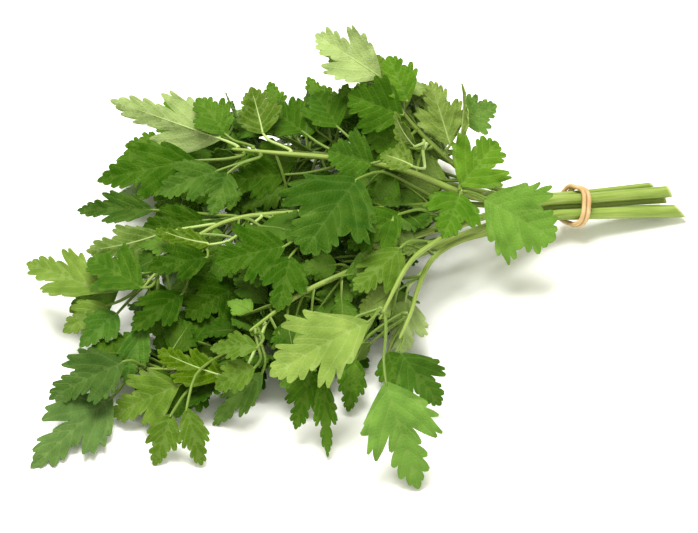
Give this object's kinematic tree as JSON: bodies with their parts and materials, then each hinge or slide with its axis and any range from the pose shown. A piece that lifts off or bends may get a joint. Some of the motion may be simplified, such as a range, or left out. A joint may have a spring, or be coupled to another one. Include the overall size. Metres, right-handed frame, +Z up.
{
  "type": "parsley bunch",
  "caption": "Flat-leaf parsley lying on a surface: green stalks gathered by a doubled rubber band at the cut end and fanning out into lobed leaves.",
  "frame": {"origin": "on the surface the bunch lies on, under the middle of its bounding box", "axes": "+X along the bunch towards the cut ends of the stalks, -Y towards the side the leaves spread to, +Z up from the surface"},
  "size_m": [0.2638, 0.2168, 0.0835],
  "materials": {
    "rubber": "matt, slightly dusty natural rubber",
    "stem": "smooth, moist, finely ribbed along its length; plant tissue",
    "leaf_dark": "satin leaf, deep green upper face; plant tissue",
    "leaf_green": "satin leaf, mid green upper face; plant tissue",
    "leaf_fresh": "satin leaf, bright green upper face; plant tissue",
    "leaf_young": "satin leaf, yellow-green; plant tissue",
    "leaf_pale": "matt leaf with its pale underside turned out; plant tissue"
  },
  "bodies": {
    "root": {"rubber_band": "rubber", "low_front_stalk": "stem", "front_stalk": "stem", "top_stalk": "stem", "lower_left_stalk": "stem", "back_stalk": "stem", "left_stalk": "stem", "upper_left_stalk": "stem", "right_stalk": "stem", "centre_stalk": "stem", "right_leaf_1": "leaf_green", "right_leaf_2": "leaf_fresh", "right_leaf_3": "leaf_fresh", "top_leaf_1": "leaf_pale", "top_leaf_2": "leaf_fresh", "top_leaves_3": "leaf_pale", "top_leaf_4": "leaf_green", "top_leaf_5": "leaf_dark", "top_leaves_6": "leaf_pale", "top_leaf_7": "leaf_green", "top_leaf_8": "leaf_dark", "upper_left_leaves_1": "leaf_green", "upper_left_leaf_2": "leaf_pale", "upper_left_leaf_3": "leaf_green", "upper_left_leaf_4": "leaf_pale", "upper_left_leaf_5": "leaf_green", "upper_left_leaves_6": "leaf_green", "upper_left_leaf_7": "leaf_dark", "left_leaf_1": "leaf_green", "left_leaf_2": "leaf_dark", "left_leaf_3": "leaf_pale", "left_leaf_4": "leaf_pale", "left_leaves_5": "leaf_green", "left_leaves_6": "leaf_young", "left_leaf_7": "leaf_green", "left_leaves_8": "leaf_dark", "left_leaves_9": "leaf_fresh", "left_leaf_10": "leaf_dark", "left_leaf_11": "leaf_dark", "centre_leaves_1": "leaf_young", "centre_leaf_2": "leaf_green", "centre_leaf_3": "leaf_dark", "centre_leaf_4": "leaf_pale", "front_leaf_1": "leaf_young", "front_leaf_2": "leaf_green", "front_leaf_3": "leaf_young", "front_leaf_4": "leaf_dark", "front_leaves_5": "leaf_dark", "low_front_leaf_1": "leaf_dark", "low_front_leaf_2": "leaf_pale", "low_front_leaves_3": "leaf_dark", "lower_left_leaf_1": "leaf_dark", "lower_left_leaf_2": "leaf_green", "lower_left_leaf_3": "leaf_young", "lower_left_leaves_4": "leaf_young", "lower_left_leaf_5": "leaf_dark", "back_leaf_1": "leaf_green", "back_leaf_2": "leaf_green", "back_leaves_3": "leaf_green", "back_leaves_4": "leaf_dark"}
  },
  "joints": []
}
